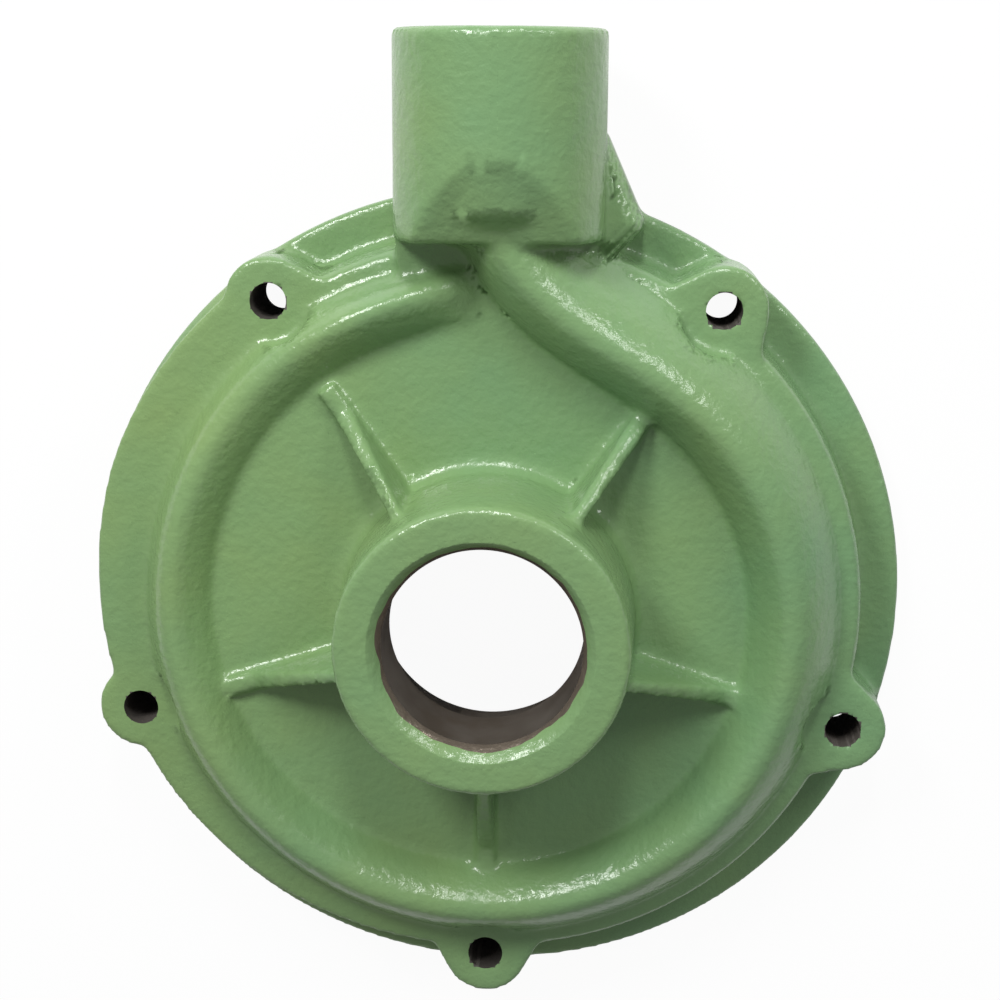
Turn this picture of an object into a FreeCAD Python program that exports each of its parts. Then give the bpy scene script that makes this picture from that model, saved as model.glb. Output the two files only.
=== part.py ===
"""Volute casing of a small close-coupled centrifugal pump, sand cast in one piece.

The casting lies on its rear mating face. The origin is where the suction axis meets
that face, +Z runs up the suction axis to the hub's nose, and +Y is the way the water
leaves through the discharge branch. Lengths are millimetres, angles are degrees.

Round the suction hub lies a flat web with five gusset ribs. The volute is a ridge round
the web that grows anticlockwise from its tongue, at the top left, and swings outwards
at the top right as a swan neck into the discharge branch. Inside, the same path is a
channel that opens into the impeller chamber and runs on as the discharge passage.
"""
import FreeCAD, Part
import math
import os
import Sketcher
from FreeCAD import Vector

SIZES = [
    # flange, drum and web
    ("flange_radius", 100, "outer radius of the mating flange"),
    ("flange_thickness", 6, "flange behind the bolt lugs"),
    ("flange_round", 1.2, "round of the flange's front edge"),
    ("drum_radius", 88.8, "wall of the drum at its shoulder"),
    ("drum_foot_radius", 90, "wall of the drum where it stands on the flange"),
    ("drum_height", 22, "shoulder of the drum above the mating face"),
    ("drum_round", 2.5, "round of the drum's shoulder"),
    ("web_height", 25, "outer face of the web above the mating face"),
    ("web_radius", 72, "how far the web disc reaches under the volute"),
    # suction hub
    ("hub_radius", 33.6, "hub at its nose"),
    ("hub_foot_radius", 34.8, "hub where it stands on the web"),
    ("hub_height", 58.4, "nose of the hub above the mating face"),
    ("hub_round", 1.2, "round of the nose's outer edge"),
    ("hub_root_round", 4, "fillet between the hub and the web"),
    ("suction_bore_radius", 22.9, "suction port, thread core size"),
    ("suction_bore_start", 35.6, "inner end of the suction port"),
    ("suction_lead_radius", 25.7, "mouth of the lead-in chamfer"),
    ("suction_lead_depth", 4.9, "depth of the lead-in chamfer"),
    ("eye_radius", 27, "room for the impeller's neck"),
    # volute, outside and inside
    ("tongue_angle", 100, "where the volute starts"),
    ("tongue_fade", 9, "angle over which the ridge rises out of the web before that"),
    ("volute_sweep", 305, "how far round it runs before the neck leaves"),
    ("volute_foot_start", 68.5, "radius of the ridge's inner foot at the tongue"),
    ("volute_foot_end", 59.5, "radius of the ridge's inner foot at the neck"),
    ("volute_crest_start", 31, "height of the ridge at the tongue"),
    ("volute_crest_end", 37, "height of the ridge at the neck"),
    ("volute_toe_radius", 84.6, "radius where the ridge meets the drum's shoulder"),
    ("neck_crest", 40, "height of the ridge where it enters the branch"),
    ("neck_width", 28, "width of the ridge there"),
    ("neck_end_x", -9, "inner foot of the neck where it enters the branch"),
    ("neck_end_y", 96, "the same, along the branch"),
    ("neck_end_heading", 97, "heading of the neck there, from +X"),
    ("neck_first_swing", 22, "how gently the neck leaves the volute"),
    ("neck_last_swing", 32, "how gently the neck bends into the branch"),
    ("wall", 5, "casting wall"),
    ("chamber_radius", 79, "impeller chamber and outer wall of the channel"),
    ("chamber_depth", 19.5, "impeller chamber behind the web"),
    ("register_radius", 82.5, "spigot register in the mating face"),
    ("register_depth", 5, "depth of the register"),
    # discharge branch
    ("branch_radius", 24.3, "outside of the branch"),
    ("branch_offset", 1.8, "branch axis right of the suction axis"),
    ("branch_length", 136, "end of the branch from the suction axis"),
    ("branch_bore_radius", 19.5, "discharge port, thread core size"),
    ("branch_bore_start", 108, "where the port ends and the neck passage begins"),
    ("passage_radius", 17, "neck passage where it opens into the port"),
    ("branch_back", 88, "rounded back end of the branch"),
    ("branch_back_radius", 11, "flat of the rounded back end"),
    ("branch_back_rise", 19, "length over which the back end rounds up"),
    ("branch_lead", 1.5, "chamfer of the discharge mouth"),
    ("gusset_reach", 35.5, "how far right the branch's side gusset stands"),
    ("gusset_root", 92, "where the gusset meets the flange's rim"),
    ("gusset_top", 113, "where the gusset fades into the branch"),
    ("gusset_height", 25, "top of the gusset"),
    ("gusset_round", 5, "round of the gusset's top edges"),
    # bolt lugs
    ("bolt_count", 5, "bolts through the flange"),
    ("bolt_circle_radius", 90.6, "bolt circle"),
    ("bolt_start_angle", 53.44, "first bolt and first rib"),
    ("bolt_hole_radius", 4.3, "clearance hole for an M8 bolt"),
    ("lug_radius", 10.4, "pad under a bolt's head"),
    ("lug_root_radius", 80, "radius at which a lug's flanks end inside the drum"),
    ("lug_root_half_width", 17.4, "half width of a lug there"),
    # ribs
    ("rib_crown", 2.7, "thickness of a rib along its sloping top"),
    ("rib_root", 5, "thickness of a rib on the web"),
    ("rib_hub_height", 47, "top of a rib where it leaves the hub"),
    ("rib_toe_height", 27.5, "top of a rib where it meets the volute"),
    ("rib_toe_radius", 60, "radius at which a rib's slope ends"),
    ("rib_end_radius", 66.5, "end of a rib inside the volute's slope"),
]

VOLUTE_STATIONS = 11
NECK_STEPS = (0.25, 0.5, 0.75, 1)
OVERSHOOT = 1.0          # cutting tools run this far past the faces they open


class Size:
    """A number together with the spreadsheet expression that it comes from."""

    def __init__(self, value, text):
        self.value, self.text = value, text

    def joined(self, other, sign, value_of):
        if not isinstance(other, Size):
            other = Size(other, repr(other))
        text = "(%s %s %s)" % (self.text, sign, other.text)
        return Size(value_of(self.value, other.value), text)

    def __add__(self, other):
        return self.joined(other, "+", lambda a, b: a + b)

    def __sub__(self, other):
        return self.joined(other, "-", lambda a, b: a - b)

    def __mul__(self, other):
        return self.joined(other, "*", lambda a, b: a * b)

    def __truediv__(self, other):
        return self.joined(other, "/", lambda a, b: a / b)


class Sizes:
    """The driving dimensions, kept in a spreadsheet and read back from it."""

    def __init__(self, document):
        self.sheet = document.addObject("Spreadsheet::Sheet", "sizes")
        for row, (alias, value, note) in enumerate(SIZES, start=1):
            self.sheet.set("A%d" % row, alias)
            self.sheet.set("B%d" % row, repr(value))
            self.sheet.set("C%d" % row, note)
            self.sheet.setAlias("B%d" % row, alias)
        document.recompute()

    def __getattr__(self, alias):
        return Size(float(getattr(self.sheet, alias)), "sizes." + alias)


def bind(thing, **sizes):
    """Tie properties of a document object to sizes."""
    for name, size in sizes.items():
        thing.setExpression(name, size.text)


def place(thing, x=None, y=None, z=None):
    """Tie an object's position to sizes."""
    for axis, size in (("x", x), ("y", y), ("z", z)):
        if size is not None:
            thing.setExpression(".Placement.Base." + axis, size.text)


def origin_feature(body, role):
    return next(f for f in body.Origin.OriginFeatures if f.Role == role)


def sketch_on(body, role, name):
    sketch = body.newObject("Sketcher::SketchObject", name)
    sketch.AttachmentSupport = [(origin_feature(body, role), "")]
    sketch.MapMode = "FlatFace"
    return sketch


def pin_point(sketch, edge, end, corner):
    """Hold one end of a sketch edge at a pair of sizes measured from the origin."""
    for kind, size in (("DistanceX", corner[0]), ("DistanceY", corner[1])):
        if isinstance(size, Size):
            number = sketch.addConstraint(Sketcher.Constraint(kind, -1, 1, edge, end, size.value))
            sketch.setExpression("Constraints[%d]" % number, size.text)
        else:
            axis = -2 if kind == "DistanceX" else -1
            sketch.addConstraint(Sketcher.Constraint("PointOnObject", edge, end, axis))


def outline(sketch, corners):
    """Closed outline of straight edges. A corner is two sizes, or 0 on an axis."""
    flat = [Vector(*[c.value if isinstance(c, Size) else 0.0 for c in corner]) for corner in corners]
    for here, there in zip(flat, flat[1:] + flat[:1]):
        sketch.addGeometry(Part.LineSegment(here, there), False)
    for edge in range(len(corners)):
        following = (edge + 1) % len(corners)
        sketch.addConstraint(Sketcher.Constraint("Coincident", edge, 2, following, 1))
        pin_point(sketch, edge, 1, corners[edge])


def revolved(body, name, role, corners):
    """Turn an outline round the body's upright sketch axis."""
    sketch = sketch_on(body, role, name + "_outline")
    outline(sketch, corners)
    turned = body.newObject("PartDesign::Revolution", name)
    turned.Profile = sketch
    turned.ReferenceAxis = (sketch, ["V_Axis"])
    turned.Angle = 360
    return turned


def padded(body, name, sketch, height, taper=None):
    pad = body.newObject("PartDesign::Pad", name)
    pad.Profile = sketch
    bind(pad, Length=height)
    if taper is not None:
        pad.setExpression("TaperAngle", taper)
    return pad


def repeated_round_axis(body, features, sizes):
    """Repeat a body's features once for each bolt, and turn the body to the first bolt."""
    pattern = body.newObject("PartDesign::PolarPattern", body.Name + "_ring")
    pattern.Originals = features
    pattern.Axis = (origin_feature(body, "Z_Axis"), [""])
    pattern.Angle = 360
    bind(pattern, Occurrences=sizes.bolt_count)
    body.Tip = pattern
    body.setExpression(".Placement.Rotation.Angle", sizes.bolt_start_angle.text)
    return pattern


def circles_at(shape, radius, height):
    """Names of a shape's full circles of a given radius that lie at a given height."""
    found = []
    for number, edge in enumerate(shape.Edges, start=1):
        curve = edge.Curve
        if isinstance(curve, Part.Circle) and abs(curve.Radius - radius) < 1e-4:
            if abs(edge.BoundBox.ZMin - height) < 1e-4 and edge.BoundBox.ZLength < 1e-4:
                found.append("Edge%d" % number)
    return found


def rounded(body, name, base, edges, radius):
    fillet = body.newObject("PartDesign::Fillet", name)
    fillet.Base = (base, edges)
    bind(fillet, Radius=radius)
    return fillet


def turned_blank(document, s):
    """Flange, drum, web and hub: everything on the casting that is round the main axis."""
    body = document.addObject("PartDesign::Body", "turned_blank")
    blank = revolved(body, "blank", "XZ_Plane", [
        (0, 0), (s.flange_radius, 0), (s.flange_radius, s.flange_thickness),
        (s.drum_foot_radius, s.flange_thickness), (s.drum_radius, s.drum_height),
        (s.web_radius, s.drum_height), (s.web_radius, s.web_height),
        (s.hub_foot_radius, s.web_height), (s.hub_radius, s.hub_height), (0, s.hub_height)])
    rounds = [("flange_edge", s.flange_radius, s.flange_thickness, s.flange_round),
              ("drum_shoulder", s.drum_radius, s.drum_height, s.drum_round),
              ("hub_root", s.hub_foot_radius, s.web_height, s.hub_root_round),
              ("hub_nose", s.hub_radius, s.hub_height, s.hub_round)]
    for name, radius, height, size in rounds:
        document.recompute()
        blank = rounded(body, name, blank, circles_at(blank.Shape, radius.value, height.value), size)
    return body


def section_plane(s, progress):
    """Where the volute's section at a given progress stands: its foot, its outward
    direction, its width and its crest height. Progress runs from 0 at the tongue to 1
    where the neck leaves, along an Archimedean spiral."""
    angle = math.radians(s.tongue_angle.value + progress * s.volute_sweep.value)
    outward = Vector(math.cos(angle), math.sin(angle), 0)
    foot = s.volute_foot_start.value + progress * (s.volute_foot_end.value - s.volute_foot_start.value)
    crest = s.volute_crest_start.value + progress * (s.volute_crest_end.value - s.volute_crest_start.value)
    return outward * foot, outward, s.volute_toe_radius.value - foot, crest


def heading_vector(degrees):
    return Vector(math.cos(math.radians(degrees)), math.sin(math.radians(degrees)), 0)


def neck_plane(s, step):
    """The same for the swan neck. Its foot runs along a Bezier curve that leaves the
    volute along its tangent and bends into the direction of the branch."""
    foot, outward, width, crest = section_plane(s, 1)
    end = Vector(s.neck_end_x.value, s.neck_end_y.value, 0)
    leave = Vector(-outward.y, outward.x, 0) * s.neck_first_swing.value
    arrive = heading_vector(s.neck_end_heading.value) * s.neck_last_swing.value
    curve = Part.BezierCurve()
    curve.setPoles([foot, foot + leave, end - arrive, end])
    heading = curve.tangent(step)[0]
    across = Vector(heading.y, -heading.x, 0)
    grown = width + step * (s.neck_width.value - width)
    return curve.value(step), across, grown, crest + step * (s.neck_crest.value - crest)


def faded_plane(s):
    """Section before the tongue, low enough to be buried in the web."""
    before = -s.tongue_fade.value / s.volute_sweep.value
    foot, outward, width, _ = section_plane(s, before)
    return foot, outward, width, s.web_height.value - 1


def smooth_ring(points):
    """A closed smooth curve through points."""
    curve = Part.BSplineCurve()
    curve.interpolate(Points=points, PeriodicFlag=True)
    return Part.Wire([curve.toShape()])


def ridge_section(s, plane):
    """Outside of the volute: steep towards the web, a round crest, then a long fall
    to the drum's shoulder. The floor of the section is buried in the drum."""
    foot, outward, width, crest = plane
    web, shoulder = s.web_height.value, s.drum_height.value
    rise = crest - web
    profile = [(-1.0, web - s.wall.value), (1.6, web + 0.17 * rise), (5.2, web + 0.68 * rise), (10, crest),
               (10 + (width - 10) * 0.45, crest - (crest - shoulder) * 0.26),
               (width - 2.5, shoulder + 3.6), (width, shoulder - 1.5),
               (width - 1.5, shoulder - 9), (width / 2, shoulder - 11), (1.5, shoulder - 9)]
    return smooth_ring([foot + outward * across + Vector(0, 0, up) for across, up in profile])


def channel_section(s, plane, floor):
    """Inside of the volute, one wall within the ridge. Its floor opens into the chamber."""
    foot, outward, width, crest = plane
    wall, roof = s.wall.value, crest - s.wall.value
    left, span, rise = wall, width - 2.4 * wall, roof - floor
    profile = [(0, 0.5), (0.06, 0.78), (0.26, 0.96), (0.48, 1), (0.76, 0.83),
               (0.95, 0.62), (1, 0.3), (0.84, 0.04), (0.5, 0), (0.16, 0.05)]
    return smooth_ring([foot + outward * (left + across * span) + Vector(0, 0, floor + up * rise)
                        for across, up in profile])


def bore_section(s, along):
    """Ring of the passage in the branch, with as many points as a channel section."""
    centre = Vector(s.branch_offset.value, along, s.branch_radius.value)
    radius = s.passage_radius.value
    turns = [math.radians(180 - 36 * k) for k in range(10)]
    return smooth_ring([centre + Vector(radius * math.cos(t), 0, radius * math.sin(t)) for t in turns])


def planes(s):
    volute = [section_plane(s, k / VOLUTE_STATIONS) for k in range(VOLUTE_STATIONS + 1)]
    return volute, [neck_plane(s, step) for step in NECK_STEPS]


def volute_ridge(document, s):
    """The growing volute and the swan neck. It laps its own start beside the tongue, so it
    is lofted in two lengths that share the section half-way round."""
    volute, neck = planes(s)
    half = VOLUTE_STATIONS // 2
    lengths = [("volute_ridge", [faded_plane(s)] + volute[:half + 1]), ("neck_ridge", volute[half:] + neck)]
    ridges = []
    for name, sections in lengths:
        ridge = document.addObject("Part::Feature", name)
        ridge.Shape = Part.makeLoft([ridge_section(s, plane) for plane in sections], True)
        ridges.append(ridge)
    return ridges


def volute_channel(document, s):
    """The channel inside the ridge, on through the neck into the branch's bore."""
    volute, neck = planes(s)
    low = s.chamber_depth.value / 2
    sill = s.branch_radius.value - s.passage_radius.value
    rings = [channel_section(s, plane, low) for plane in volute[1:]]
    rings += [channel_section(s, plane, low + step * (sill - low)) for plane, step in zip(neck, NECK_STEPS)]
    rings += [bore_section(s, s.branch_bore_start.value)]
    rings += [bore_section(s, s.branch_bore_start.value + OVERSHOOT)]
    channel = document.addObject("Part::Feature", "volute_channel")
    channel.Shape = Part.makeLoft(rings, True)
    return channel


def discharge_branch(document, s):
    """The outlet branch, turned about its own axis, with a rounded back end."""
    body = document.addObject("PartDesign::Body", "discharge_branch")
    branch = revolved(body, "branch", "XY_Plane", [
        (0, s.branch_back), (s.branch_back_radius, s.branch_back),
        (s.branch_back_radius + (s.branch_radius - s.branch_back_radius) * 0.72,
         s.branch_back + s.branch_back_rise * 0.38),
        (s.branch_radius, s.branch_back + s.branch_back_rise),
        (s.branch_radius, s.branch_length), (0, s.branch_length)])
    place(body, x=s.branch_offset, z=s.branch_radius)
    return body


def side_gusset(document, s):
    """The solid corner between the branch and the flange on the neck's outer side."""
    body = document.addObject("PartDesign::Body", "side_gusset")
    sketch = sketch_on(body, "XY_Plane", "gusset_outline")
    inside = s.branch_offset + s.branch_radius
    outline(sketch, [(s.branch_offset, s.drum_radius * 0.93), (inside, s.drum_radius * 0.93),
                     (s.gusset_reach, s.gusset_root), (inside, s.gusset_top),
                     (s.branch_offset, s.gusset_top)])
    pad = padded(body, "gusset", sketch, s.gusset_height)
    document.recompute()
    top = ["Edge%d" % n for n, edge in enumerate(pad.Shape.Edges, start=1)
           if abs(edge.BoundBox.ZMin - s.gusset_height.value) < 1e-4
           and edge.CenterOfMass.x > inside.value]
    rounded(body, "gusset_top_round", pad, top, s.gusset_round)
    return body


def bolt_lugs(document, s):
    """Lugs that carry the bolt heads: a round pad with flanks that flare into the drum."""
    body = document.addObject("PartDesign::Body", "bolt_lugs")
    sketch = sketch_on(body, "XY_Plane", "lug_outline")
    centre, radius = s.bolt_circle_radius, s.lug_radius
    root, half = s.lug_root_radius, s.lug_root_half_width
    lean = math.atan2(half.value - radius.value, centre.value - root.value)
    touch = Vector(centre.value + radius.value * math.sin(lean), radius.value * math.cos(lean))
    mirror = Vector(touch.x, -touch.y)
    low, high = Vector(root.value, -half.value), Vector(root.value, half.value)
    sketch.addGeometry(Part.LineSegment(high, low), False)
    sketch.addGeometry(Part.LineSegment(low, mirror), False)
    circle = Part.Circle(Vector(centre.value, 0), Vector(0, 0, 1), radius.value)
    spread = math.pi / 2 - lean
    sketch.addGeometry(Part.ArcOfCircle(circle, -spread, spread), False)
    sketch.addGeometry(Part.LineSegment(touch, high), False)
    sketch.addConstraint(Sketcher.Constraint("Coincident", 0, 2, 1, 1))
    sketch.addConstraint(Sketcher.Constraint("Tangent", 1, 2, 2, 1))
    sketch.addConstraint(Sketcher.Constraint("Tangent", 2, 2, 3, 1))
    sketch.addConstraint(Sketcher.Constraint("Coincident", 3, 2, 0, 1))
    sketch.addConstraint(Sketcher.Constraint("Symmetric", 0, 1, 0, 2, -1))
    pin_point(sketch, 0, 1, (root, half))
    sketch.addConstraint(Sketcher.Constraint("PointOnObject", 2, 3, -1))
    number = sketch.addConstraint(Sketcher.Constraint("DistanceX", -1, 1, 2, 3, centre.value))
    sketch.setExpression("Constraints[%d]" % number, centre.text)
    number = sketch.addConstraint(Sketcher.Constraint("Radius", 2, radius.value))
    sketch.setExpression("Constraints[%d]" % number, radius.text)
    pad = padded(body, "lug", sketch, s.drum_height)
    repeated_round_axis(body, [pad], s)
    return body


def bolt_cuts(document, s):
    """Bolt holes, and the spot faces that clear the volute's toe over each lug."""
    body = document.addObject("PartDesign::Body", "bolt_cuts")
    corners = []
    for name, radius, start, end in (
            ("hole", s.bolt_hole_radius, None, s.drum_height + OVERSHOOT),
            ("spot_face", s.lug_radius, s.drum_height, s.hub_height - s.drum_height)):
        sketch = sketch_on(body, "XY_Plane", name + "_circle")
        sketch.addGeometry(Part.Circle(Vector(s.bolt_circle_radius.value, 0), Vector(0, 0, 1), radius.value))
        sketch.addConstraint(Sketcher.Constraint("PointOnObject", 0, 3, -1))
        for kind, ends, size in (("DistanceX", (-1, 1, 0, 3), s.bolt_circle_radius), ("Radius", (0,), radius)):
            number = sketch.addConstraint(Sketcher.Constraint(kind, *ends, size.value))
            sketch.setExpression("Constraints[%d]" % number, size.text)
        if start is not None:
            sketch.setExpression(".AttachmentOffset.Base.z", start.text)
        pad = padded(body, name, sketch, end)
        if start is None:
            pad.Midplane = True
            bind(pad, Length=end * 2)
        corners.append(pad)
    repeated_round_axis(body, corners, s)
    return body


def gusset_ribs(document, s):
    """Ribs from the hub to the volute, thinner at the top, with a straight sloping crown."""
    body = document.addObject("PartDesign::Body", "gusset_ribs")
    sketch = sketch_on(body, "YZ_Plane", "rib_cross_section")
    sketch.setExpression(".AttachmentOffset.Base.z", s.eye_radius.text)
    floor = s.web_height - s.wall
    outline(sketch, [(s.rib_root / 2, floor), (s.rib_crown / 2, s.rib_hub_height),
                     (s.rib_crown / -2, s.rib_hub_height), (s.rib_root / -2, floor)])
    bar = padded(body, "rib", sketch, s.rib_end_radius - s.eye_radius)
    slope = sketch_on(body, "XZ_Plane", "rib_slope")
    outline(slope, [(s.hub_radius, s.rib_hub_height), (s.rib_toe_radius, s.rib_toe_height),
                    (s.rib_end_radius + OVERSHOOT, s.rib_toe_height),
                    (s.rib_end_radius + OVERSHOOT, s.rib_hub_height + OVERSHOOT),
                    (s.hub_radius, s.rib_hub_height + OVERSHOOT)])
    cut = body.newObject("PartDesign::Pocket", "rib_slope_cut")
    cut.Profile = slope
    cut.Midplane = True
    bind(cut, Length=s.rib_root * 4)
    repeated_round_axis(body, [bar, cut], s)
    return body


def cylinder(document, name, radius, start, length, lead=None):
    """A round cutting tool on the suction axis, or a cone if it has a lead radius."""
    tool = document.addObject("Part::Cone" if lead else "Part::Cylinder", name)
    if lead:
        bind(tool, Radius1=radius, Radius2=lead, Height=length)
    else:
        bind(tool, Radius=radius, Height=length)
    place(tool, z=start)
    return tool


def along_branch(tool, s, start):
    """Turn a tool from the suction axis to the branch's axis."""
    tool.Placement = FreeCAD.Placement(Vector(), FreeCAD.Rotation(Vector(1, 0, 0), -90))
    place(tool, x=s.branch_offset, y=start, z=s.branch_radius)
    return tool


def hollow_tools(document, s):
    """Everything that the casting is hollow for, as round tools and the channel loft."""
    nose = s.hub_height - s.suction_lead_depth
    below = Size(-OVERSHOOT, repr(-OVERSHOOT))
    return [
        cylinder(document, "register", s.register_radius, below, s.register_depth + OVERSHOOT),
        cylinder(document, "impeller_chamber", s.chamber_radius, below, s.chamber_depth + OVERSHOOT),
        cylinder(document, "impeller_eye", s.eye_radius, below, s.suction_bore_start + OVERSHOOT),
        cylinder(document, "suction_bore", s.suction_bore_radius, below, s.hub_height + OVERSHOOT),
        cylinder(document, "suction_lead", s.suction_bore_radius, nose, s.suction_lead_depth,
                 s.suction_lead_radius),
        along_branch(cylinder(document, "branch_bore", s.branch_bore_radius, None,
                              s.branch_length - s.branch_bore_start + OVERSHOOT), s, s.branch_bore_start),
        along_branch(cylinder(document, "branch_mouth", s.branch_bore_radius, None, s.branch_lead,
                              s.branch_bore_radius + s.branch_lead), s, s.branch_length - s.branch_lead),
        volute_channel(document, s),
        bolt_cuts(document, s),
    ]


def combined(document, kind, name, **links):
    thing = document.addObject(kind, name)
    for key, value in links.items():
        setattr(thing, key, value)
    return thing


def casing(document, s):
    """The casting: one solid, built up outside and then hollowed out."""
    outside = combined(document, "Part::MultiFuse", "outside", Refine=True, Shapes=[
        turned_blank(document, s), *volute_ridge(document, s), discharge_branch(document, s),
        side_gusset(document, s), bolt_lugs(document, s), gusset_ribs(document, s)])
    inside = combined(document, "Part::MultiFuse", "inside", Shapes=hollow_tools(document, s))
    part = combined(document, "Part::Cut", "volute_casing", Base=outside, Tool=inside, Refine=False)
    part.Label = "volute_casing"
    return part


def checked(document, parts):
    """Stop if any object failed, or if a finished part is empty, open or in pieces."""
    for thing in document.Objects:
        if "Invalid" in thing.State or "Error" in thing.State:
            raise RuntimeError("%s failed: %s" % (thing.Name, thing.State))
    for part in parts:
        if part.Shape.isNull() or not part.Shape.isValid() or len(part.Shape.Solids) != 1:
            raise RuntimeError("%s isn't one sound solid" % part.Label)


def main():
    document = FreeCAD.newDocument("pump_casing")
    sizes = Sizes(document)
    parts = [casing(document, sizes)]
    document.recompute()
    checked(document, parts)
    os.makedirs("parts", exist_ok=True)
    for part in parts:
        part.Shape.exportStep("parts/%s.step" % part.Label)
        print(part.Label, "%.0f mm3" % part.Shape.Volume, part.Shape.BoundBox)


main()
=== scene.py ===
# %% [markdown]
# # A painted pump casing, dressed in Blender
# The casing of a small centrifugal pump is one iron casting. It is sand cast, a few faces
# are machined, and it is sprayed with glossy green enamel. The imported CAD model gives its
# size and shape. This lesson turns that exact, hard-edged solid into a casting: soft
# corners, a lumpy skin under the paint, and bare metal where a tool has cut.

# %% Load the frame
import bpy
import math
from mathutils import Matrix, Vector


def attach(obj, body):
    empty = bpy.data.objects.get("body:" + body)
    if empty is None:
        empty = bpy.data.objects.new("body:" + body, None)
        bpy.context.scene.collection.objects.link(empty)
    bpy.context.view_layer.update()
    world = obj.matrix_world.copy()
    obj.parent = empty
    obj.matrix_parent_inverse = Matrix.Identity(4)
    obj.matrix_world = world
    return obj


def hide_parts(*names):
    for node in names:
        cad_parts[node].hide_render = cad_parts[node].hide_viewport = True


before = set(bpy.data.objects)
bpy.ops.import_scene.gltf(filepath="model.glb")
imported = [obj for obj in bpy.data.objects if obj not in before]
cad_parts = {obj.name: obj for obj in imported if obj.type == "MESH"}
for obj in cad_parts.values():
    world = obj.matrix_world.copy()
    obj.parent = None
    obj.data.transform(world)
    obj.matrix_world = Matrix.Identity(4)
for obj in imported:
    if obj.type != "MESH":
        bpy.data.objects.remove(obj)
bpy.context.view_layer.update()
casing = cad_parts["volute_casing"]

# %% [markdown]
# ## Units and small helpers
# Blender works in metres here, as the frame does. A casting is easier to think of in
# millimetres, so MM turns one into the other.

# %% Helpers
MM = 0.001


def deselect():
    """Operators act on all that is selected, so each step starts from nothing."""
    if bpy.context.mode != "OBJECT":
        bpy.ops.object.mode_set(mode="OBJECT")
    bpy.ops.object.select_all(action="DESELECT")


def pick(piece):
    """Make one object the selected and active one."""
    deselect()
    piece.select_set(True)
    bpy.context.view_layer.objects.active = piece

# %% [markdown]
# ## Camera
# The casing lies on its back and is seen from almost straight above, from the side of its
# outlet, with a long lens. The camera comes first, because it decides what shows.

# %% Camera
CAMERA_PLACE = Vector((25.5, 125.9, 448.1)) * MM
CAMERA_TURN = Matrix(((0.9985, -0.018, 0.0532), (0.0056, 0.9742, 0.2257), (-0.0559, -0.225, 0.9727)))
LENS_MM = 66.2

bpy.ops.object.camera_add(location=CAMERA_PLACE)
camera = bpy.context.object
camera.name = "camera"
camera.rotation_euler = CAMERA_TURN.to_euler()
camera.data.lens = LENS_MM
camera.data.sensor_width = 36
camera.data.clip_start = 0.01
bpy.context.scene.camera = camera

# %% [markdown]
# ## White table
# The casing lies on a white table that runs on into a white room. Seen straight on, most of
# the white is the table's own glow, so that only a breath of the casing's shadow is left.

# %% Floor and room
SHADOW_SHARE = 0.05


def white_to_the_eye(tree, lit, share):
    """Where the camera looks straight at it, a surface turns plain white by that share."""
    nodes, links = tree.nodes, tree.links
    path = nodes.new("ShaderNodeLightPath")
    part = nodes.new("ShaderNodeMath")
    part.operation = "MULTIPLY"
    part.inputs[1].default_value = share
    links.new(path.outputs["Is Camera Ray"], part.inputs[0])
    glow = nodes.new("ShaderNodeEmission" if "Material Output" in nodes else "ShaderNodeBackground")
    glow.inputs["Color"].default_value = (1, 1, 1, 1)
    blend = nodes.new("ShaderNodeMixShader")
    links.new(part.outputs[0], blend.inputs["Fac"])
    links.new(lit.outputs[0], blend.inputs[1])
    links.new(glow.outputs[0], blend.inputs[2])
    ends = [n for n in nodes if n.bl_idname in ("ShaderNodeOutputMaterial", "ShaderNodeOutputWorld")]
    links.new(blend.outputs[0], ends[0].inputs["Surface"])


bpy.ops.mesh.primitive_plane_add(size=4, location=(0, 0, -0.5 * MM))
floor = bpy.context.object
floor.name = "floor"
paper = bpy.data.materials.new("white_paper")
paper.use_nodes = True
paper_shader = paper.node_tree.nodes["Principled BSDF"]
paper_shader.inputs["Base Color"].default_value = (0.9, 0.9, 0.9, 1)
white_to_the_eye(paper.node_tree, paper_shader, 1 - SHADOW_SHARE)
floor.data.materials.append(paper)

world = bpy.data.worlds.new("studio")
bpy.context.scene.world = world
world.use_nodes = True
sky = world.node_tree.nodes["Background"]
sky.inputs["Color"].default_value = (1, 1, 1, 1)
sky.inputs["Strength"].default_value = 0.31
white_to_the_eye(world.node_tree, sky, 1)

# %% [markdown]
# ## Lamps
# Glossy paint on a lumpy casting sparkles: each small bump mirrors a lamp as one bright dot.
# The lamps are therefore fairly small, and stand high behind the outlet, where they draw
# long rows of dots along every crest that faces them.

# %% Lights
def softbox(name, place, aim, width, height, watts):
    """A soft lamp at a place, turned towards a point."""
    bpy.ops.object.light_add(type="AREA", location=place)
    lamp = bpy.context.object
    lamp.name = name
    lamp.data.shape = "RECTANGLE"
    lamp.data.size, lamp.data.size_y = width, height
    lamp.data.energy = watts
    lamp.rotation_euler = (Vector(aim) - Vector(place)).to_track_quat("-Z", "Y").to_euler()
    return lamp


CENTRE = (0, 0.02, 0.02)
softbox("window_left", (-0.42, 0.62, 0.62), CENTRE, 0.20, 0.28, 5.6)
softbox("window_middle", (0.02, 0.80, 0.62), CENTRE, 0.12, 0.30, 4.0)
softbox("window_right", (0.50, 0.55, 0.45), CENTRE, 0.15, 0.25, 1.6)
bpy.context.scene.view_settings.view_transform = "Standard"

# %% [markdown]
# ## Enamel and iron
# Materials read Object coordinates, so the pattern stays put on the casting. The lumps of
# the sand mould are one node group, which both finishes share.

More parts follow.
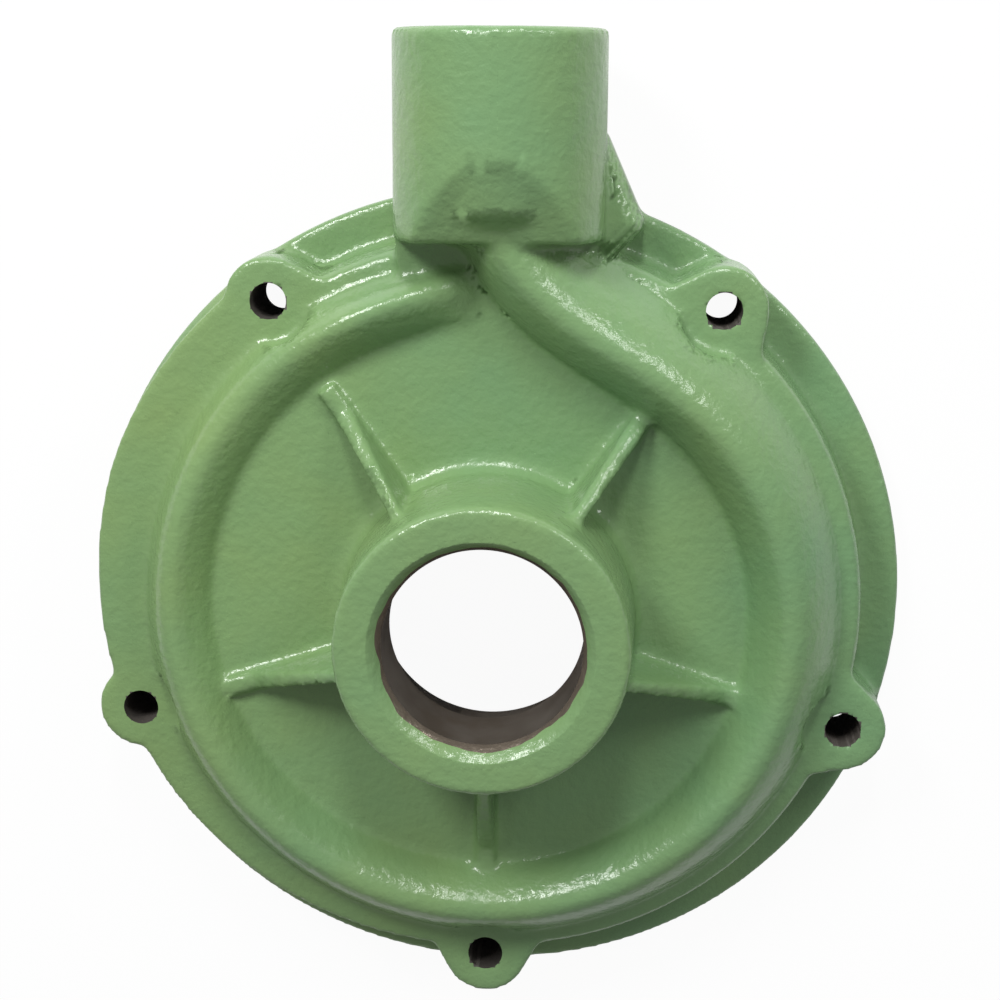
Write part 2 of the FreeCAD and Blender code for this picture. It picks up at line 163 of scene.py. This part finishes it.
# %% Materials
def noise(tree, coords, scale, detail):
    """Noise of so many lumps per metre."""
    node = tree.nodes.new("ShaderNodeTexNoise")
    node.inputs["Scale"].default_value = scale
    node.inputs["Detail"].default_value = detail
    tree.links.new(coords, node.inputs["Vector"])
    return node.outputs["Fac"]


def ramp(tree, factor, low, high, start=0.35, end=0.65):
    """Turn noise into a blend between two colours."""
    node = tree.nodes.new("ShaderNodeValToRGB")
    node.color_ramp.elements[0].position = start
    node.color_ramp.elements[1].position = end
    node.color_ramp.elements[0].color = low
    node.color_ramp.elements[1].color = high
    tree.links.new(factor, node.inputs["Fac"])
    return node.outputs["Color"]


def maths(tree, operation, first, second):
    """One step of arithmetic on sockets or plain numbers."""
    node = tree.nodes.new("ShaderNodeMath")
    node.operation = operation
    for socket, value in zip(node.inputs, (first, second)):
        if isinstance(value, (int, float)):
            socket.default_value = value
        else:
            tree.links.new(value, socket)
    return node.outputs[0]


def blended(tree, factor, first, second):
    """Mix two colours by a factor."""
    node = tree.nodes.new("ShaderNodeMix")
    node.data_type = "RGBA"
    tree.links.new(factor, node.inputs["Factor"])
    for name, colour in (("A", first), ("B", second)):
        socket = next(s for s in node.inputs if s.name == name and s.type == "RGBA")
        if isinstance(colour, tuple):
            socket.default_value = colour
        else:
            tree.links.new(colour, socket)
    return next(s for s in node.outputs if s.type == "RGBA")


def cast_lumps():
    """Group: the relief of a sand-cast skin, from Object coordinates to a normal."""
    group = bpy.data.node_groups.new("cast_lumps", "ShaderNodeTree")
    group.interface.new_socket("Coordinates", in_out="INPUT", socket_type="NodeSocketVector")
    group.interface.new_socket("Normal", in_out="OUTPUT", socket_type="NodeSocketVector")
    entry = group.nodes.new("NodeGroupInput")
    leave = group.nodes.new("NodeGroupOutput")
    normal = None
    for scale, detail, strength, depth in ((130, 2, 0.4, 0.6), (480, 3, 0.8, 0.36)):
        bump = group.nodes.new("ShaderNodeBump")
        bump.inputs["Strength"].default_value = strength
        bump.inputs["Distance"].default_value = depth * MM
        group.links.new(noise(group, entry.outputs[0], scale, detail), bump.inputs["Height"])
        if normal is not None:
            group.links.new(normal, bump.inputs["Normal"])
        normal = bump.outputs["Normal"]
    group.links.new(normal, leave.inputs[0])
    return group


LUMPS = cast_lumps()


def new_finish(name):
    """An empty material: its tree, its shader and its Object coordinates."""
    finish = bpy.data.materials.new(name)
    finish.use_nodes = True
    tree = finish.node_tree
    coords = tree.nodes.new("ShaderNodeTexCoord").outputs["Object"]
    return finish, tree, tree.nodes["Principled BSDF"], coords


def lumpy(tree, shader, coords):
    lumps = tree.nodes.new("ShaderNodeGroup")
    lumps.node_tree = LUMPS
    tree.links.new(coords, lumps.inputs[0])
    tree.links.new(lumps.outputs[0], shader.inputs["Normal"])


def green_enamel():
    """Sprayed green enamel with painted light: lighter and yellower on the tongue's side (-X), where the
    lamps fall, and darker and bluer on the other, over random patches of its own tone; and worn off
    in a wavy line where the tool chamfered the suction mouth."""
    finish, tree, shader, coords = new_finish("green_enamel")
    split = tree.nodes.new("ShaderNodeSeparateXYZ")
    tree.links.new(coords, split.inputs[0])
    # Painted light: the enamel goes darker and bluer along +X and lighter and yellower towards -X, as light
    # falls from the left; the noise patches are the paint's own random tone.
    painted_light_across = maths(tree, "ADD", maths(tree, "MULTIPLY", split.outputs["X"], 4.0), 0.5)
    patches = maths(tree, "MULTIPLY", noise(tree, coords, 28, 3), 0.9)
    side = maths(tree, "ADD", maths(tree, "MULTIPLY", painted_light_across, 0.55), maths(tree, "SUBTRACT", patches, 0.22))
    green = ramp(tree, side, (0.208, 0.318, 0.118, 1), (0.150, 0.290, 0.142, 1), 0.1, 0.95)
    flat = tree.nodes.new("ShaderNodeVectorMath")
    flat.operation = "MULTIPLY"
    flat.inputs[1].default_value = (1, 1, 0)
    tree.links.new(coords, flat.inputs[0])
    reach = tree.nodes.new("ShaderNodeVectorMath")
    reach.operation = "LENGTH"
    tree.links.new(flat.outputs[0], reach.inputs[0])
    wavy = maths(tree, "MULTIPLY", noise(tree, coords, 90, 2), 2.4 * MM)
    near_bore = maths(tree, "LESS_THAN", maths(tree, "ADD", reach.outputs["Value"], wavy), 25.0 * MM)
    tree.links.new(blended(tree, near_bore, green, (0.23, 0.19, 0.15, 1)), shader.inputs["Base Color"])
    tree.links.new(maths(tree, "MULTIPLY", near_bore, 0.6), shader.inputs["Metallic"])
    gloss = maths(tree, "ADD", maths(tree, "MULTIPLY", noise(tree, coords, 60, 2), 0.16), 0.15)
    tree.links.new(gloss, shader.inputs["Roughness"])
    lumpy(tree, shader, coords)
    return finish


def machined_iron():
    """Turned and drilled faces: grey iron with a brown bloom."""
    finish, tree, shader, coords = new_finish("machined_iron")
    bloom = ramp(tree, noise(tree, coords, 70, 3), (0.20, 0.165, 0.13, 1), (0.33, 0.29, 0.25, 1))
    tree.links.new(bloom, shader.inputs["Base Color"])
    shader.inputs["Metallic"].default_value = 0.75
    shader.inputs["Roughness"].default_value = 0.34
    return finish


def raw_iron():
    """The unpainted inside and the drilled holes: dark cast iron."""
    finish, tree, shader, coords = new_finish("raw_iron")
    skin = ramp(tree, noise(tree, coords, 110, 3), (0.045, 0.04, 0.035, 1), (0.085, 0.075, 0.065, 1))
    tree.links.new(skin, shader.inputs["Base Color"])
    shader.inputs["Roughness"].default_value = 0.62
    lumpy(tree, shader, coords)
    return finish


ENAMEL, MACHINED, RAW = green_enamel(), machined_iron(), raw_iron()

# %% [markdown]
# ## From solid to casting
# A mould can't hold a sharp corner. The casing's mesh is copied and closed, plain bars plug
# what a tool cut later, and a voxel remesh melts it all into one skin that is smoothed a
# little. The same cuts are then made again, so that only machined edges are crisp.

# %% Sizes taken from the casing
SUCTION = {"bore": 22.9, "from": 35.6, "mouth": 25.7, "lead": 4.9, "nose": 58.4, "eye": 27,
           "hub": 33.6, "hub_foot": 34.8}
REAR = {"register": 82.5, "register_depth": 5, "chamber": 79, "chamber_depth": 19.5, "face": 98.5,
        "rim": 100, "rim_height": 6}
BRANCH = {"x": 1.8, "z": 24.3, "outside": 24.3, "bore": 19.5, "from": 108, "end": 136, "lead": 1.5}
BOLTS = {"circle": 90.6, "first": 53.44, "count": 5, "hole": 4.3, "pad": 22}
DRUM = {"wall": 88.8, "foot": 90, "shoulder": 22, "web": 25}
VOXEL = 1.08
SMOOTHING = 3


def polar(radius, degrees):
    turn = math.radians(degrees)
    return radius * math.cos(turn), radius * math.sin(turn)


BOLT_PLACES = [polar(BOLTS["circle"], BOLTS["first"] + k * 360 / BOLTS["count"])
               for k in range(BOLTS["count"])]


def bar(radius, start, end, at=(0, 0), along="Z", tip=None, sides=128):
    """A closed round bar or cone between two heights, or between two lengths along Y."""
    middle = (start + end) / 2
    place = (at[0], at[1], middle) if along == "Z" else (at[0], middle, at[1])
    turn = (0, 0, 0) if along == "Z" else (math.radians(-90), 0, 0)
    bpy.ops.mesh.primitive_cone_add(
        vertices=sides, radius1=radius * MM, radius2=(tip or radius) * MM, depth=(end - start) * MM,
        location=Vector(place) * MM, rotation=turn)
    bpy.ops.object.transform_apply(location=True, rotation=True, scale=True)
    return bpy.context.object


def prism(corners, low, high):
    """A closed slab on an outline, between two heights."""
    bpy.ops.mesh.primitive_circle_add(vertices=len(corners), fill_type="NGON")
    slab = bpy.context.object
    for vertex, corner in zip(slab.data.vertices, corners):
        vertex.co = Vector((corner[0], corner[1], low)) * MM
    bpy.ops.object.mode_set(mode="EDIT")
    bpy.ops.mesh.select_all(action="SELECT")
    bpy.ops.mesh.extrude_region_move(TRANSFORM_OT_translate={"value": (0, 0, (high - low) * MM)})
    bpy.ops.mesh.select_all(action="SELECT")
    bpy.ops.mesh.normals_make_consistent(inside=False)
    bpy.ops.object.mode_set(mode="OBJECT")
    return slab


def cut(piece, tool):
    """Take one closed tool away from a piece, and throw the tool away."""
    pick(piece)
    bpy.ops.object.modifier_add(type="BOOLEAN")
    step = piece.modifiers[-1]
    step.operation = "DIFFERENCE"
    step.solver = "MANIFOLD"
    step.object = tool
    bpy.ops.object.modifier_apply(modifier=step.name)
    bpy.data.objects.remove(tool)


# %% Copy and plugs
def copied_casing():
    """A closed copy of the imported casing."""
    skin = bpy.data.objects.new("casting_skin", casing.data.copy())
    bpy.context.scene.collection.objects.link(skin)
    skin.data.materials.clear()
    pick(skin)
    bpy.ops.object.mode_set(mode="EDIT")
    bpy.ops.mesh.select_all(action="SELECT")
    bpy.ops.mesh.remove_doubles(threshold=0.01 * MM)
    bpy.ops.object.mode_set(mode="OBJECT")
    return skin


def plugs():
    """Bars that fill what is machined later. The outlet stays open to the channel."""
    nose, lead = SUCTION["nose"], SUCTION["lead"]
    fills = [
        bar(REAR["face"], -1.5, 1), bar(REAR["register"] + 0.3, -1.5, REAR["register_depth"] + 0.1),
        bar(REAR["chamber"] + 0.3, 0, REAR["chamber_depth"] + 0.1),
        bar(SUCTION["eye"] + 0.3, 10, SUCTION["from"] + 0.3),
        bar(SUCTION["bore"] + 0.3, 30, nose - lead + 1),
        bar(SUCTION["bore"] + 0.3, nose - lead, nose - 0.2, tip=SUCTION["mouth"] + 0.3)]
    fills += [bar(BOLTS["hole"] + 0.3, 1, BOLTS["pad"] - 1, place, sides=32) for place in BOLT_PLACES]
    return fills


def true_rounds():
    """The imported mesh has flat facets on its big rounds. These bars lie a hair proud of
    them, so that flange, drum, hub and branch come out of the melt truly round."""
    axis, proud = (BRANCH["x"], BRANCH["z"]), 0.05
    sleeve = bar(BRANCH["outside"] + proud, BRANCH["from"] - 0.5, BRANCH["end"] - 0.3, axis, "Y", sides=256)
    cut(sleeve, bar(BRANCH["bore"], BRANCH["from"] - 2, BRANCH["end"] + 1, axis, "Y"))
    return [
        sleeve, bar(REAR["rim"] - proud, 0, REAR["rim_height"] - 1.3, sides=360),
        bar(DRUM["foot"] + proud, 4, DRUM["shoulder"] - 2.6, tip=DRUM["wall"] + proud, sides=360),
        bar(SUCTION["hub_foot"] + proud, DRUM["web"] + 4, SUCTION["nose"] - 2,
            tip=SUCTION["hub"] + proud, sides=256)]


# %% [markdown]
# ## Forms that belong to the casting's skin
# The drum swells out to the flange on the tongue's side and dies away below. The web runs
# on between the tongue and the branch, and the branch keeps its width down to the flange
# while its top slopes to the neck.

# %% Cast forms
SWELL = {"reach": 8.8, "start": 124, "full": 158, "end": 268, "steps": 36, "inner": 80}
BAY = {"inner": 60, "outer": 89, "half_width": 13, "turn": 96}
SLOPE = {"high": (107.5, 48.6), "low": (89, 39.6), "back": 89}


def drum_swell():
    outer = []
    for step in range(SWELL["steps"] + 1):
        angle = SWELL["start"] + (SWELL["end"] - SWELL["start"]) * step / SWELL["steps"]
        reach = SWELL["reach"] * min(1, (SWELL["end"] - angle) / (SWELL["end"] - SWELL["full"]))
        outer.append((polar(DRUM["wall"] + reach, angle), polar(SWELL["inner"], angle)))
    corners = [pair[0] for pair in outer] + [pair[1] for pair in reversed(outer)]
    return prism(corners, 2, DRUM["shoulder"])


def web_bay():
    corners = []
    for reach, side in (("inner", -1), ("outer", -1), ("outer", 1), ("inner", 1)):
        along, wide = Vector(polar(1, BAY["turn"])), side * BAY["half_width"]
        corners.append(along * BAY[reach] + Vector((-along.y, along.x)) * wide)
    return prism(corners, DRUM["shoulder"] - 2, DRUM["web"])


def branch_shoulder():
    """The branch's back, full width, with its top cut down along a slope."""
    shoulder = bar(BRANCH["outside"] + 0.05, SLOPE["back"], BRANCH["from"], (BRANCH["x"], BRANCH["z"]), "Y")
    run, rise = (SLOPE["high"][0] - SLOPE["low"][0]), (SLOPE["high"][1] - SLOPE["low"][1])
    tilt = math.atan2(rise, run)
    size = 80
    middle = Vector((BRANCH["x"], (SLOPE["high"][0] + SLOPE["low"][0]) / 2,
                     (SLOPE["high"][1] + SLOPE["low"][1]) / 2))
    middle += Vector((0, -math.sin(tilt), math.cos(tilt))) * size / 2
    bpy.ops.mesh.primitive_cube_add(size=size * MM, location=middle * MM, rotation=(tilt, 0, 0))
    block = bpy.context.object
    cut(shoulder, block)
    return shoulder


# %% Skin
def melted(skin, fills):
    """Join the fills to the copy and melt them into one soft skin."""
    deselect()
    for piece in fills + [skin]:
        piece.select_set(True)
    bpy.context.view_layer.objects.active = skin
    bpy.ops.object.join()
    skin.data.remesh_voxel_size = VOXEL * MM
    skin.data.use_remesh_preserve_volume = False
    bpy.ops.object.voxel_remesh()
    bpy.ops.object.modifier_add(type="SMOOTH")
    skin.modifiers[-1].factor = 0.5
    skin.modifiers[-1].iterations = SMOOTHING
    bpy.ops.object.modifier_apply(modifier=skin.modifiers[-1].name)
    return skin


def machined(skin):
    """Make every cut that a tool makes on the real casting."""
    nose, lead, end = SUCTION["nose"], SUCTION["lead"], BRANCH["end"]
    flare = (SUCTION["mouth"] - SUCTION["bore"]) / lead
    axis = (BRANCH["x"], BRANCH["z"])
    tools = [
        bar(130, -10, 0), bar(REAR["register"], -1, REAR["register_depth"]),
        bar(REAR["chamber"], -1, REAR["chamber_depth"]), bar(SUCTION["eye"], 10, SUCTION["from"]),
        bar(SUCTION["bore"], 30, nose + 1),
        bar(SUCTION["bore"], nose - lead, nose + 1, tip=SUCTION["mouth"] + flare),
        bar(BRANCH["bore"], BRANCH["from"], end + 1, axis, "Y"),
        bar(BRANCH["bore"], end - BRANCH["lead"], end + 1, axis, "Y",
            tip=BRANCH["bore"] + BRANCH["lead"] + 1)]
    tools += [bar(BOLTS["hole"], -1, BOLTS["pad"] + 4, place, sides=48) for place in BOLT_PLACES]
    for tool in tools:
        cut(skin, tool)
        if len(skin.data.polygons) < 1000:
            raise RuntimeError("a cut emptied the casting")
    return skin


def finish_of(face):
    """0 painted, 1 machined, 2 raw, by where a face of the casting lies."""
    x, y, z = (c / MM for c in face.center)
    reach, upright = math.hypot(x, y), abs(face.normal.z)
    if min(math.hypot(x - bx, y - by) for bx, by in BOLT_PLACES) < BOLTS["hole"] + 0.1:
        return 2
    if z < 0.05 or (reach < REAR["register"] + 0.1 and z < REAR["register_depth"] + 0.05):
        return 1
    if reach < SUCTION["eye"] + 0.1 and z < SUCTION["nose"] - SUCTION["lead"] and upright < 0.3:
        return 1
    if reach < REAR["chamber"] + 0.1 and z < REAR["chamber_depth"] + 0.1:
        return 1
    from_axis = math.hypot(x - BRANCH["x"], z - BRANCH["z"])
    if y > BRANCH["from"] - 1 and from_axis < BRANCH["bore"] + 0.2:
        return 1
    if reach < REAR["chamber"] + 2 and z < DRUM["web"] + 7 and face.normal.z < -0.05:
        return 2
    return 0


skin = copied_casing()
skin = machined(melted(skin, plugs() + true_rounds() + [drum_swell(), web_bay(), branch_shoulder()]))
skin.data.materials.clear()
for finish in (ENAMEL, MACHINED, RAW):
    skin.data.materials.append(finish)
for face in skin.data.polygons:
    face.material_index = finish_of(face)
pick(skin)
bpy.ops.object.shade_smooth_by_angle(angle=math.radians(35))
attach(skin, "root")
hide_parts("volute_casing")
skin.data.calc_loop_triangles()
print("casting skin", len(skin.data.loop_triangles), "triangles")

# %% Finish
bpy.context.view_layer.update()
